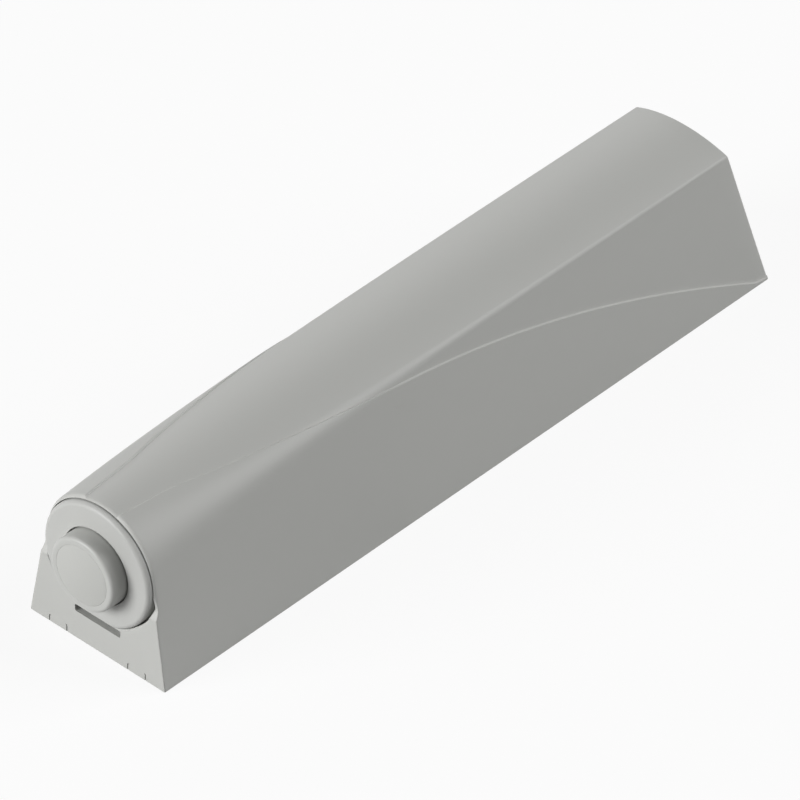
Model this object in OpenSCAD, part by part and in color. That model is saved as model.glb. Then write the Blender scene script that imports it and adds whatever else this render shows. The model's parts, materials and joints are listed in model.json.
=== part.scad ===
// Push to open catch: a clip-on adapter housing that carries a latching push-pin cartridge.
// The origin is the middle of the screw pattern, on the mounting face. +Z is up, millimetres.
// +X points out of the front, the way the button pushes. Places along the part are given as
// distances s behind the front face, and px(s) turns such a distance into X.

/* [Housing] */
// Length of the housing along its base
body_l = 92.4; // [92:0.2:96]
// Width of the housing at its base
base_w = 18; // [17:0.1:20]
// Height of the housing
body_h = 18.7; // [18.6:0.1:20]
// Thickness of the housing beside the collar's seat, which sets how far the flanks lean in
side_skin = 0.05; // [0.03:0.01:0.2]
// Lean of the rear end face towards the front, in degrees
rear_lean = 16.4; // [8:0.2:17]
// Radius of the top arch far behind the front end
arch_rear_r = 14; // [12:0.5:18]
// Distance over which the arch widens from the front barrel to the rear radius
arch_run = 18.7; // [15:0.1:24]
// Radius of the shoulder between flank and arch far behind the front end
shoulder_rear_r = 0.4; // [0.3:0.1:1.5]
// Distance over which the shoulder sharpens from the front barrel to that radius
shoulder_run = 19.8; // [15:0.1:24]
// Wall of the housing at its flanks and rear
wall = 1.5; // [1.4:0.05:1.6]
// Thickness of the front wall
front_wall = 3; // [2.8:0.1:3.5]
// Height of the styling step that runs along each side
step_h = 0.14; // [0.1:0.02:0.2]
// Number of ribs that carry the cartridge in front of the latch keeper
front_ribs = 2; // [1:1:3]
// Number of ribs that carry it behind the keeper
rear_ribs = 1; // [1:1:2]
// Thickness of a rib
rib_t = 1.4; // [1:0.1:2]
// Height of the channel that stays open under the ribs
rib_low_z = 7; // [6.5:0.1:8]
// Width of the release slot under the collar
slot_w = 6.1; // [5.8:0.1:6.4]
// Height of the release slot
slot_h = 0.85; // [0.75:0.05:0.9]
// How far the release slot reaches down below the collar's seat
slot_drop = 0.5; // [0.45:0.05:0.6]
// Radius of the release slot's corners
slot_corner_r = 0.2; // [0.1:0.05:0.3]
// Height of the alignment ticks on the front face
tick_h = 0.9; // [0.5:0.1:1.5]
// Width of an alignment tick
tick_w = 0.2; // [0.1:0.05:0.3]
// Depth of an alignment tick
tick_d = 0.15; // [0.1:0.05:0.3]
// Distance of the inner ticks from the middle
tick_inner_y = 4.1; // [3:0.1:4.5]
// Distance of the outer ticks from the middle
tick_outer_y = 6.45; // [5.5:0.05:7]
// Height at which the front face starts to fall back beside the collar
ear_z = 8.2; // [7.5:0.1:8.5]
// Height at which it lies furthest back, and from where it comes forward to the top
notch_z = 10.2; // [9.5:0.1:11]
// How far back it lies there
notch_depth = 0.45; // [0.3:0.05:0.6]

/* [Cartridge] */
// Height of the cartridge axis above the base
axis_z = 11; // [11:0.05:11.2]
// Outer diameter of the sleeve
sleeve_d = 10; // [9.8:0.1:10.2]
// Distance from the back of the end plug to the foot of the housing's rear face
rear_room = 10.4; // [10:0.2:12]
// How deep the sleeve's front end lies behind the front face
sleeve_s = 0.3; // [0.2:0.05:0.5]
// Diameter of the front collar
collar_d = 14; // [13.6:0.1:14]
// Thickness of the front collar
collar_t = 1.65; // [1.4:0.05:1.9]
// How far the collar stands out of the front face
collar_proud = 0.5; // [0.4:0.05:0.7]
// Radius of the collar's outer front edge
collar_edge_r = 1; // [0.6:0.05:1.1]
// Diameter of the hole in the collar
collar_hole_d = 8.8; // [8.6:0.1:9]
// Radius of the lead-in at that hole
lead_r = 0.15; // [0.1:0.05:0.4]
// Thickness of the end plug's flange
plug_t = 1.5; // [1:0.1:2]
// Length of the end plug's spigot
spigot_l = 3; // [2.5:0.1:3.5]
// Thickness of the soft ring that ends the inward travel
stop_t = 1; // [0.8:0.1:1.4]
// Inner diameter of that ring
stop_inner_d = 5.8; // [5.6:0.1:6.2]

/* [Plunger] */
// Diameter of the plunger and its button end
plunger_d = 8.3; // [8.2:0.05:8.4]
// How far the latched button stands out of the front face
button_out = 2.4; // [2.3:0.1:3]
// Radius of the button's front edge
button_edge_r = 0.25; // [0.1:0.05:0.4]
// Diameter of the buffer pad in the button
pad_d = 6.7; // [6.4:0.1:7]
// Thickness of the buffer pad
pad_t = 1; // [0.8:0.1:1.4]
// Depth of the seam where the pad lies behind the button's edge
pad_sunk = 0.05; // [0:0.01:0.1]
// Diameter of the spring bore
spring_bore_d = 5.6; // [5.5:0.1:5.8]
// How deep the spring's front seat lies behind the front face
seat_s = 0.8; // [0.4:0.1:1.2]
// Travel from the latched place to the full reach
stroke_out = 34; // [33:0.5:34]
// Extra travel inwards that frees the latch
stroke_in = 1.8; // [1.6:0.1:1.8]
// Room left between plunger and stop ring at the end of that travel
stop_gap = 0.3; // [0.2:0.05:0.5]
// Width of the latch track
track_w = 0.8; // [0.75:0.05:0.9]
// Depth of the latch track
track_d = 0.85; // [0.7:0.05:0.9]
// Length of the heart-shaped island in the track
heart_l = 8; // [7:0.5:9]
// Length of the fork where the side lanes run into the long lane
fork_l = 3; // [2.5:0.1:3.5]
// Distance of the track's two side lanes from the middle
lane_y = 1.1; // [1:0.05:1.2]

/* [Spring and latch] */
// Wire diameter of the drive spring
spring_wire_d = 0.6; // [0.5:0.05:0.65]
// Mean diameter of the drive spring
spring_mean_d = 4.4; // [4.2:0.1:4.5]
// Turns of the drive spring
spring_turns = 33; // [28:1:38]
// Diameter of the rod inside the spring
rod_d = 2; // [1.6:0.1:2.6]
// How deep the rod's free end lies behind the front face
rod_s = 6; // [4:0.5:12]
// Distance of the latch wire's tip behind the front face
latch_s = 37.5; // [37.5:0.1:38]
// Wire diameter of the latch wire
latch_wire_d = 0.6; // [0.5:0.05:0.6]
// Length of the latch wire between its tip and its root
latch_reach = 14; // [12:0.5:16]
// Length of the keeper that holds the latch wire
keeper_l = 8; // [6:0.5:10]
// Wall of the keeper
keeper_t = 1.2; // [1.1:0.05:1.25]
// How far the keeper's edges lie below the cartridge axis
keeper_low = 2; // [2:0.1:2.5]

/* [Base plate] */
// Thickness of the base plate
plate_t = 2.4; // [2.2:0.1:2.5]
// Distance between the two screw holes
screw_spacing = 32; // [30:1:40]
// Diameter of a screw hole
screw_hole_d = 4; // [3.6:0.1:4.2]
// Diameter of a countersink at the top of the plate
screw_sink_d = 7.2; // [6.6:0.1:7.6]
// Width of the front catch tongue
tongue_w = 5.6; // [5:0.1:5.7]
// Thickness of the front catch tongue
tongue_t = 1.2; // [1:0.1:1.4]
// How far the tongue stands above the release slot
tongue_over = 0.5; // [0.3:0.1:0.7]
// How deep the tongue's barb lies behind the front face
barb_s = 1.6; // [1.5:0.1:2]
// Length of the slits that free the tongue
slit_l = 8; // [6:0.5:10]
// Width of those slits
slit_w = 0.8; // [0.6:0.1:1]
// Length of a side hook
hook_l = 6; // [5:0.5:8]
// Thickness of a side hook
hook_t = 0.8; // [0.7:0.05:1]
// Height of a hook above its ledge
hook_h = 1.2; // [1:0.1:1.5]
// Reach of a hook's barb over its ledge
hook_barb = 0.4; // [0.35:0.05:0.4]
// Thickness of that barb at its tip
barb_t = 0.3; // [0.2:0.05:0.4]
// Distance of the side hooks from the middle of the plate
hook_x = 30; // [24:1:34]
// Height of the ledges that the hooks grip
ledge_h = 1; // [0.8:0.1:1.2]
// How far a ledge stands out of the wall
ledge_d = 0.6; // [0.5:0.05:0.7]
// How far a ledge runs past its hook at each end
ledge_past = 1; // [0.5:0.1:1.5]
// Distance of a ledge's top from the plate's top
ledge_rise = 1.8; // [1.6:0.1:2]

/* [Clearances] */
// Gap round the plunger in the sleeve
running_gap = 0.09; // [0.05:0.01:0.1]
// Gap round pressed and glued seats
seat_gap = 0.02; // [0.01:0.01:0.03]
// Gap round parts that are slid or clipped into the housing
clip_gap = 0.1; // [0.05:0.01:0.12]
// Gap between the base plate and the walls
plate_gap = 0.2; // [0.15:0.01:0.25]

/* [Hidden] */
$fn = 48;
eps = 0.01;
// How far a cutting shape runs past what it cuts
cut = 1;
far = 60;
front_x = (body_l - button_out) / 2;
half_w = base_w / 2;
sleeve_r = sleeve_d / 2;
collar_r = collar_d / 2;
plunger_r = plunger_d / 2;
pad_r = pad_d / 2;
bore_r = plunger_r + running_gap;
seat_r = collar_r + clip_gap;
plug_end_s = body_l - rear_room;
sleeve_end_s = plug_end_s - plug_t;
spigot_s = sleeve_end_s - spigot_l;
plunger_end_s = spigot_s - stop_t - stop_gap - stroke_in;

// The flanks start at the base's width and pass the collar's seat at the side skin
flank_d = seat_r + side_skin;
flank_lean = acos(flank_d / norm([half_w, axis_z])) - atan2(axis_z, half_w);
flank_slope = tan(flank_lean);
wall_y = wall / cos(flank_lean);
// At the front end the skin is a full barrel, which touches both flanks and the top
barrel_r = (flank_d - (body_h - axis_z) * sin(flank_lean)) / (1 - sin(flank_lean));

slot_z = axis_z - seat_r - slot_drop;
wire_r = latch_wire_d / 2;
wire_z = axis_z - sleeve_r - wire_r - clip_gap;
track_floor_z = axis_z - plunger_r + track_d;
ledge_z = plate_t + ledge_rise;
keeper_s = latch_s + latch_reach - keeper_l / 2;

// Cubic curve of the styling step on a flank, as distance behind the front and height
step_curve = [[0, body_h - step_h], [0.294 * body_l, body_h - 2.3],
              [0.529 * body_l, body_h + 0.8], [body_l, -0.4]];
stations = 30;
low_points = 10;
high_points = 10;

function px(s) = front_x - s;
function cubic(p, t) =
    pow(1 - t, 3) * p[0] + 3 * pow(1 - t, 2) * t * p[1] + 3 * (1 - t) * t * t * p[2] + pow(t, 3) * p[3];
function half_width(z) = half_w - z * flank_slope;
function inner_half_width(z) = half_width(z) - wall_y;
function rear_inner_s(z) = body_l - wall / cos(rear_lean) - z * tan(rear_lean);

// Cross section of the outer skin: a flat flank, a round shoulder and a top arch
function arch_r(s) = arch_rear_r - (arch_rear_r - barrel_r) * exp(-max(s, eps) / arch_run);
function shoulder_r(s) = shoulder_rear_r + (barrel_r - shoulder_rear_r) * exp(-max(s, eps) / shoulder_run);
function arch_z(s) = body_h - arch_r(s);
function shoulder_angle(s) =
    let (d = half_width(arch_z(s)) * cos(flank_lean) - shoulder_r(s))
    flank_lean + acos(min(1, d / (arch_r(s) - shoulder_r(s))));
function shoulder_centre(s) =
    let (a = shoulder_angle(s), r = arch_r(s) - shoulder_r(s))
    [r * cos(a), arch_z(s) + r * sin(a)];

// A point of the skin at a place along its outline: below 0 on the flank, from the base at -1 up to the
// shoulder, and from 0 to 1 round the shoulder and the arch, in equal turns of the surface. It is moved
// out by an amount.
function skin_point(s, v, out) =
    let (c = shoulder_centre(s), r = shoulder_r(s), n = flank_lean + max(v, 0) * (90 - flank_lean),
         low = c + r * [cos(flank_lean), sin(flank_lean)], side = [cos(n), sin(n)])
    v <= 0 ? [half_width((1 + v) * low[1]) + out / cos(flank_lean), (1 + v) * low[1]]
    : n < shoulder_angle(s) ? c + (r + out) * side
    : [0, arch_z(s)] + (arch_r(s) + out) * side;

// The place along the outline at which the skin reaches a height
function place_of(s, z) =
    let (c = shoulder_centre(s), r = shoulder_r(s), a = arch_r(s), low = c[1] + r * sin(flank_lean),
         n = z < arch_z(s) + a * sin(shoulder_angle(s)) ? asin(min(1, (z - c[1]) / r))
             : asin(min(1, (z - arch_z(s)) / a)))
    z <= low ? z / low - 1 : (n - flank_lean) / (90 - flank_lean);

// Half of a ring of the skin, from the base up to the middle of the top, with the step between two points
function half_ring(t) =
    let (p = cubic(step_curve, t), s = p[0], v = place_of(s, max(p[1], 0.1)), n = low_points, m = high_points)
    concat(
        [for (i = [0 : n])
            skin_point(s, v <= 0 ? -1 + (v + 1) * i / n : i == 0 ? -1 : v * (i - 1) / (n - 1), step_h / 2)],
        [for (i = [0 : m])
            skin_point(s, v >= 0 ? v + (1 - v) * i / m : i == 0 ? v : (i - 1) / (m - 1), -step_h / 2)]);
// A whole ring, which starts in the middle of the base, where every point of the ring can be seen
function ring(t) =
    let (x = px(cubic(step_curve, t)[0]), h = half_ring(t), n = len(h))
    concat([[x, 0, 0]], [for (p = h) [x, p[0], p[1]]], [for (i = [n - 2 : -1 : 0]) [x, -h[i][0], h[i][1]]]);

module skin() {
    rings = [for (i = [0 : stations]) ring(i / stations)];
    n = len(rings[0]);
    points = [for (r = rings) for (p = r) p];
    sides = [for (i = [0 : stations - 1], j = [0 : n - 1])
        let (a = i * n + j, b = i * n + (j + 1) % n)
        each [[a, b, b + n], [a, b + n, a + n]]];
    front = [for (j = [n : -1 : 1]) j % n];
    rear = [for (j = [0 : n - 1]) stations * n + j];
    polyhedron(points, concat(sides, [front], [rear]), convexity = 4);
}

// A round bar along X between two distances behind the front face
module bar(s0, s1, r) {
    translate([px(s1), 0, axis_z])
        rotate([0, 90, 0])
            cylinder(r = r, h = s1 - s0);
}

// A ring or disc made by turning a profile of radius and distance in front of the place s
module turned(s) {
    translate([px(s), 0, axis_z])
        rotate([0, 90, 0])
            rotate_extrude()
                children();
}

// Everything in front of a plane that leans forward with the rear face, s behind the front at the base
module ahead_of_rear(s) {
    translate([px(s), 0, 0])
        rotate([0, rear_lean, 0])
            translate([0, -far, -far])
                cube([2 * far, 2 * far, 2 * far]);
}

// Section between the two flank walls from one height to another, with a gap to each wall
module between_walls(z0, z1, gap) {
    low = inner_half_width(z0) - gap;
    high = inner_half_width(z1) - gap;
    polygon([[-low, z0], [low, z0], [high, z1], [-high, z1]]);
}

// A length of a section, from s behind the front face to the front of it
module along_part(s0, s1) {
    translate([px(s1), 0, 0])
        rotate([90, 0, 90])
            linear_extrude(s1 - s0)
                children();
}

module cell_profile() {
    cell_r = flank_d - wall + clip_gap / 2;
    top_z = axis_z + cell_r * sin(flank_lean);
    translate([0, axis_z])
        circle(r = cell_r, $fn = 64);
    between_walls(-cut, top_z, 0);
}

module rib() {
    translate([-rib_t, -half_w, rib_low_z])
        cube([rib_t, base_w, body_h]);
}

// Copies that divide the run between two distances behind the front face into equal bays
module evenly(count, s0, s1) {
    for (i = [1 : count])
        translate([px(s0 + i * (s1 - s0) / (count + 1)), 0, 0])
            children();
}

module hollow() {
    intersection() {
        ahead_of_rear(rear_inner_s(0));
        difference() {
            along_part(front_wall, body_l)
                cell_profile();
            evenly(front_ribs, front_wall, keeper_s)
                rib();
            evenly(rear_ribs, keeper_s + keeper_l, sleeve_end_s)
                rib();
            translate([px(plug_end_s + clip_gap), 0, 0])
                rib();
        }
    }
}

// Cut that lets the front face fall back beside the collar
module notch_cut() {
    translate([front_x, far, 0])
        rotate([90, 0, 0])
            linear_extrude(2 * far)
                polygon([[0, ear_z], [cut, ear_z], [cut, body_h], [0, body_h], [-notch_depth, notch_z]]);
}

module slot_cut() {
    translate([px(front_wall) - cut, 0, slot_z + slot_h / 2])
        rotate([90, 0, 90])
            linear_extrude(front_wall + 2 * cut)
                offset(r = slot_corner_r)
                    square([slot_w - 2 * slot_corner_r, slot_h - 2 * slot_corner_r], center = true);
}

module tick(y) {
    translate([front_x - tick_d, y - tick_w / 2, -eps])
        cube([cut, tick_w, tick_h]);
}

module ledge_bar(x, side) {
    inner = inner_half_width(ledge_z) - ledge_d;
    depth = ledge_d + wall / 2;
    translate([x - hook_l / 2 - ledge_past, side > 0 ? inner : -inner - depth, ledge_z - ledge_h])
        cube([hook_l + 2 * ledge_past, depth, ledge_h]);
}

module adapter_housing() {
    color("#b9bab6")
    union() {
        difference() {
            intersection() {
                skin();
                ahead_of_rear(body_l);
            }
            hollow();
            bar(-cut, collar_t - collar_proud, seat_r);
            bar(sleeve_s, sleeve_end_s, sleeve_r + clip_gap);
            notch_cut();
            slot_cut();
            for (y = [tick_inner_y, tick_outer_y], side = [-1, 1])
                tick(side * y);
        }
        for (x = [-hook_x, hook_x], side = [-1, 1])
            ledge_bar(x, side);
    }
}

module hook(x, side) {
    y = inner_half_width(ledge_z) - ledge_d - clip_gap;
    translate([x + side * hook_l / 2, 0, 0])
        rotate([90, 0, side > 0 ? -90 : 90])
            mirror([1, 0, 0])
                linear_extrude(hook_l)
                    polygon([[y - hook_t, plate_t / 2], [y, plate_t / 2], [y, ledge_z],
                             [y + hook_barb, ledge_z], [y + hook_barb, ledge_z + barb_t],
                             [y, ledge_z + hook_h], [y - hook_t, ledge_z + hook_h]]);
}

module screw_hole(x) {
    sink_h = (screw_sink_d - screw_hole_d) / 2;
    translate([x, 0, -cut])
        cylinder(d = screw_hole_d, h = plate_t + 2 * cut);
    translate([x, 0, plate_t - sink_h])
        cylinder(d1 = screw_hole_d, d2 = screw_sink_d + 2 * eps, h = sink_h + eps);
}

module base_plate() {
    front_s = front_wall + plate_gap;
    rear_s = rear_inner_s(plate_t) - plate_gap;
    w = 2 * (inner_half_width(plate_t) - plate_gap);
    color("#a9aaa6")
    union() {
        difference() {
            translate([px(rear_s), -w / 2, 0])
                cube([rear_s - front_s, w, plate_t]);
            for (side = [-1, 1]) {
                screw_hole(side * screw_spacing / 2);
                translate([px(front_s) - slit_l, side * (tongue_w + slit_w) / 2 - slit_w / 2, -cut])
                    cube([slit_l + cut, slit_w, plate_t + 2 * cut]);
            }
        }
        translate([px(front_s) - tongue_t, -tongue_w / 2, 0])
            cube([tongue_t, tongue_w, slot_z + slot_h + tongue_over]);
        translate([px(front_s) - eps, -tongue_w / 2, slot_z + clip_gap / 2])
            cube([front_s - barb_s + eps, tongue_w, slot_h - clip_gap]);
        for (x = [-hook_x, hook_x], side = [-1, 1])
            hook(x, side);
    }
}

module cartridge_sleeve() {
    color("#8f9193")
    difference() {
        bar(sleeve_s, sleeve_end_s, sleeve_r);
        bar(sleeve_s - cut, sleeve_end_s + cut, bore_r);
        translate([px(latch_s) - wire_r - clip_gap, -lane_y - wire_r - clip_gap, axis_z - sleeve_r - cut])
            cube([2 * (wire_r + clip_gap), 2 * (lane_y + wire_r + clip_gap), sleeve_r]);
        translate([px(latch_s + latch_reach), 0, axis_z - sleeve_r - cut])
            cylinder(r = wire_r + seat_gap, h = sleeve_r);
    }
}

module front_collar() {
    hole_r = collar_hole_d / 2;
    face_r = hole_r + lead_r;
    edge_r = collar_r - collar_edge_r;
    color("#c2c3bf")
    turned(collar_t - collar_proud)
        difference() {
            intersection() {
                square([collar_r, collar_t]);
                union() {
                    translate([hole_r, 0])
                        square([collar_r - hole_r, collar_t - collar_edge_r]);
                    translate([hole_r, 0])
                        square([edge_r - hole_r, collar_t - lead_r]);
                    translate([face_r, 0])
                        square([edge_r - face_r, collar_t]);
                    translate([edge_r, collar_t - collar_edge_r])
                        circle(r = collar_edge_r);
                    translate([face_r, collar_t - lead_r])
                        circle(r = lead_r);
                }
            }
            translate([0, -cut])
                square([sleeve_r + seat_gap, cut + collar_t - collar_proud - sleeve_s]);
        }
}

module end_plug() {
    color("#6f7173")
    difference() {
        union() {
            bar(sleeve_end_s, plug_end_s, sleeve_r);
            bar(spigot_s, sleeve_end_s + eps, bore_r - seat_gap);
        }
        bar(spigot_s - cut, sleeve_end_s, rod_d / 2 + seat_gap);
    }
}

module end_stop_ring() {
    color("#3c3d3f")
    difference() {
        bar(spigot_s - stop_t, spigot_s, plunger_r);
        bar(spigot_s - stop_t - cut, spigot_s + cut, stop_inner_d / 2);
    }
}

module guide_rod() {
    color("#9aa0a6")
    union() {
        bar(rod_s, sleeve_end_s, rod_d / 2);
        translate([px(rod_s), 0, axis_z])
            sphere(d = rod_d);
    }
}

module latch_keeper() {
    color("#77797b")
    difference() {
        along_part(keeper_s, keeper_s + keeper_l)
            between_walls(axis_z - sleeve_r - keeper_t, axis_z - keeper_low, clip_gap);
        bar(keeper_s - cut, keeper_s + keeper_l + cut, sleeve_r + seat_gap);
        translate([px(latch_s + latch_reach + wire_r + seat_gap), -wire_r - seat_gap, wire_z - wire_r - seat_gap])
            cube([far, 2 * (wire_r + seat_gap), far]);
    }
}

module wire_run(a, b) {
    way = b - a;
    translate(a)
        rotate([0, acos(way[2] / norm(way)), atan2(way[1], way[0])])
            cylinder(r = wire_r, h = norm(way), $fn = 24);
}

module latch_wire() {
    tip = [px(latch_s), 0, track_floor_z - clip_gap];
    bend = [px(latch_s), 0, wire_z];
    root_bend = [px(latch_s + latch_reach), 0, wire_z];
    root = [px(latch_s + latch_reach), 0, axis_z - bore_r - clip_gap];
    color("#b4b8bc")
    union() {
        wire_run(bend, tip);
        wire_run(root_bend, bend);
        wire_run(root_bend, root);
        for (p = [bend, root_bend])
            translate(p)
                sphere(r = wire_r, $fn = 24);
    }
}

module drive_spring() {
    sides = 5;
    per_turn = 10;
    r = spring_mean_d / 2;
    w = spring_wire_d / 2;
    count = spring_turns * per_turn;
    run = spigot_s - seat_s - 2 * w;
    // The first and last turn lie closed against their seats
    function along(u) =
        u < 1 ? 2 * w * u
        : u > spring_turns - 1 ? run - 2 * w * (spring_turns - u)
        : 2 * w + (run - 4 * w) * (u - 1) / (spring_turns - 2);
    points = [for (i = [0 : count], j = [0 : sides - 1])
        let (a = 360 * i / per_turn, b = 360 * j / sides, d = r + w * cos(b))
        [px(seat_s + w + along(i / per_turn) + w * sin(b)), d * cos(a), axis_z + d * sin(a)]];
    skin = [for (i = [0 : count - 1], j = [0 : sides - 1])
        let (a = i * sides + j, b = i * sides + (j + 1) % sides)
        each [[a, b, b + sides], [a, b + sides, a + sides]]];
    front = [for (j = [sides - 1 : -1 : 0]) j];
    rear = [for (j = [0 : sides - 1]) count * sides + j];
    color("#a3a8ad")
    polyhedron(points, concat(skin, [front], [rear]), convexity = 20);
}

// The track on the underside of the plunger: one long lane for the outward travel, and a loop round the
// heart, whose notch holds the tip of the wire
module latch_track() {
    w = track_w / 2;
    side = lane_y + w;
    fork = heart_l - fork_l;
    half = [[stroke_out + w, w], [heart_l, w], [fork, side], [-stroke_in + w, side], [-stroke_in - w, side - w]];
    island = lane_y - w;
    notch = wire_r + 2 * clip_gap;
    translate([px(latch_s), 0, track_floor_z - plunger_r])
        rotate([0, 180, 0])
            mirror([0, 0, 1])
                linear_extrude(plunger_r)
                    difference() {
                        polygon(concat(half, [for (i = [len(half) - 1 : -1 : 0]) [half[i][0], -half[i][1]]]));
                        polygon([[notch, 0], [notch - island, island], [fork, island], [heart_l - w, 0],
                                 [fork, -island], [notch - island, -island]]);
                    }
}

module plunger() {
    color("#bcbdb9")
    difference() {
        turned(plunger_end_s)
            union() {
                square([plunger_r, plunger_end_s + button_out - button_edge_r]);
                square([plunger_r - button_edge_r, plunger_end_s + button_out]);
                translate([plunger_r - button_edge_r, plunger_end_s + button_out - button_edge_r])
                    circle(r = button_edge_r);
            }
        bar(-button_out - cut, -button_out + pad_sunk + pad_t, pad_r);
        bar(seat_s, plunger_end_s + cut, spring_bore_d / 2);
        latch_track();
    }
}

module buffer_pad() {
    edge = 0.15;
    color("#b5b6b2")
    turned(-button_out + pad_sunk + pad_t)
        union() {
            square([pad_r - seat_gap, pad_t - edge]);
            square([pad_r - seat_gap - edge, pad_t]);
            translate([pad_r - seat_gap - edge, pad_t - edge])
                circle(r = edge);
        }
}

adapter_housing();
base_plate();
cartridge_sleeve();
front_collar();
end_plug();
end_stop_ring();
guide_rod();
latch_keeper();
latch_wire();
drive_spring();
plunger();
buffer_pad();
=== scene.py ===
import json
import math

import bmesh
import bpy
from mathutils import Matrix, Vector


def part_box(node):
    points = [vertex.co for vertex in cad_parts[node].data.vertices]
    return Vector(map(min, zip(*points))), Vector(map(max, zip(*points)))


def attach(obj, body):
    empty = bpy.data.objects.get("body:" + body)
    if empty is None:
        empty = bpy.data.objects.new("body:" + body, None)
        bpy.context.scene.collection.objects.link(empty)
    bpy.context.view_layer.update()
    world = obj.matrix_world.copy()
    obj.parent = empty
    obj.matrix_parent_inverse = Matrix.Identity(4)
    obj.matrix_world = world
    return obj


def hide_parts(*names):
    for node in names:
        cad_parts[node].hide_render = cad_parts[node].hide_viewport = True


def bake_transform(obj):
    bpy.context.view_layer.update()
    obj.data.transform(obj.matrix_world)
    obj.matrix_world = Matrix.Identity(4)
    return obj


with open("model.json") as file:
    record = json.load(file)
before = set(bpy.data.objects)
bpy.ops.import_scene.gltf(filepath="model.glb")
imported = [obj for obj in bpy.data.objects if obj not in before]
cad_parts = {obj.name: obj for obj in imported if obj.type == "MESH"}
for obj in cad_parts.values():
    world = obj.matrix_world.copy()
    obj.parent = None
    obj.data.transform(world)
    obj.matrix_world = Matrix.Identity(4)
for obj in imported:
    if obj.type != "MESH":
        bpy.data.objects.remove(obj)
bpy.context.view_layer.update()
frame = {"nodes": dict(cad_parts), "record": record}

# Lengths are millimetres until a mesh is made, with the frame's own axes. A distance s is measured
# back from the front face, and a place (y, z) lies in the section there.
MM = 0.001


def box_mm(node):
    low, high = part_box(node)
    return low / MM, high / MM


HOUSING_LOW, HOUSING_HIGH = box_mm("adapter_housing")
COLLAR_LOW, COLLAR_HIGH = box_mm("front_collar")
PLUNGER_LOW, PLUNGER_HIGH = box_mm("plunger")
PAD_LOW, PAD_HIGH = box_mm("buffer_pad")
FRONT_X = HOUSING_HIGH.x
AXIS_Z = (COLLAR_LOW.z + COLLAR_HIGH.z) / 2
BODY_L = FRONT_X - HOUSING_LOW.x

# Skin of the housing
BASE_W = 18.0
BODY_H = 18.7
SEAT_R = 7.1
SIDE_SKIN = 0.05
REAR_LEAN = math.radians(16.4)
ARCH_REAR_R = 14.0
ARCH_RUN = 18.7
SHOULDER_REAR_R = 0.45
SHOULDER_RUN = 19.8
STEP_H = 0.14
STEP_W = 0.12
# The step's height along the part is a cubic curve through these points (s, z), capped near the front
STEP_CURVE = [(0, BODY_H - STEP_H), (0.294 * BODY_L, BODY_H - 2.3),
              (0.529 * BODY_L, BODY_H + 0.8), (BODY_L, -0.4)]
STEP_TOP_Z = BODY_H - 0.62
STEP_TOP_SOFT = 0.1
FLANK_D = SEAT_R + SIDE_SKIN
FLANK_LEAN = math.acos(FLANK_D / math.hypot(BASE_W / 2, AXIS_Z)) - math.atan2(AXIS_Z, BASE_W / 2)
# The top sinks a little towards the front end
TOP_SINK = 0.3
TOP_SINK_RUN = 16.0
BARREL_R = (FLANK_D - (BODY_H - TOP_SINK - AXIS_Z) * math.sin(FLANK_LEAN)) / (1 - math.sin(FLANK_LEAN))

# Front end of the housing
EAR_Z = 8.2
EAR_LEAN = math.radians(25)
EAR_SOFT = 0.05
NOTCH_DEPTH = 0.42
# Over the ears the seat's edge comes forward to this share of the notch's depth, between these heights
RIM_SHARE = 0.45
RIM_Z = (9.4, 10.6)
# Beside the ears the seat is wider by this gap. It opens between these heights and closes over RIM_Z
EAR_GAP = 0.25
EAR_GAP_Z = (6.0, 8.0)
SEAT_DEPTH = FRONT_X - COLLAR_LOW.x
SEAT_WALL_S = SEAT_DEPTH / 2 + 0.35
SEAT_RINGS = 3
FRONT_EDGE_R = 0.15
SEAT_EDGE_R = 0.06
# The two roundings take up to these shares of the face's width
EDGE_SHARE = 0.7
LIP_SHARE = 0.25
BASE_EDGE_R = 0.1
REAR_EDGE_R = 0.25
STEP_LOW_Z = 3 * BASE_EDGE_R
REAR_MIDDLE_Z = 7.0

# Inside of the housing
WALL = 1.5
FRONT_WALL = 3.0
CLIP_GAP = 0.1
RIB_T = 1.4
RIB_LOW_Z = 7.0
KEEPER_BAY = (47.5, 55.5)
SLEEVE_R = 5.0
SLEEVE_S = 0.3
SLEEVE_END_S = 80.5
PLUG_END_S = 82.0
CELL_R = FLANK_D - WALL + CLIP_GAP / 2
HOOK_X = 30.0
LEDGE_Z = 4.2
LEDGE_H = 1.0
LEDGE_D = 0.6
LEDGE_L = 8.0

# Release slot and alignment ticks
SLOT_W = 6.1
SLOT_Z = 3.4
SLOT_H = 0.85
SLOT_CORNER_R = 0.2
TICK_H = 0.92
TICK_W = 0.15
TICK_D = 0.15
TICK_PLACES = ((4.1, 1), (6.45, -1))


# Shape of the skin

# Rounds that find the step's place on its curve, and a column's length at the slanted rear end
CURVE_ROUNDS = 30
REAR_ROUNDS = 3


def fade(s, run):
    """Falls from 1 at the front towards the rear. At 1 itself, arch and shoulder would be one circle."""
    return math.exp(-max(s, 0.01) / run)


def arch_r(s):
    return ARCH_REAR_R - (ARCH_REAR_R - BARREL_R) * fade(s, ARCH_RUN)


def shoulder_r(s):
    return SHOULDER_REAR_R + (BARREL_R - SHOULDER_REAR_R) * fade(s, SHOULDER_RUN)


def arch_z(s):
    return BODY_H - TOP_SINK * fade(s, TOP_SINK_RUN) - arch_r(s)


def half_width(z):
    return BASE_W / 2 - z * math.tan(FLANK_LEAN)


def shoulder(s):
    """Centre, radius and end angle of the shoulder's arc."""
    r = shoulder_r(s)
    reach = arch_r(s) - r
    d = half_width(arch_z(s)) * math.cos(FLANK_LEAN) - r
    angle = FLANK_LEAN + math.acos(min(1, d / reach))
    return reach * math.cos(angle), arch_z(s) + reach * math.sin(angle), r, angle


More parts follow.
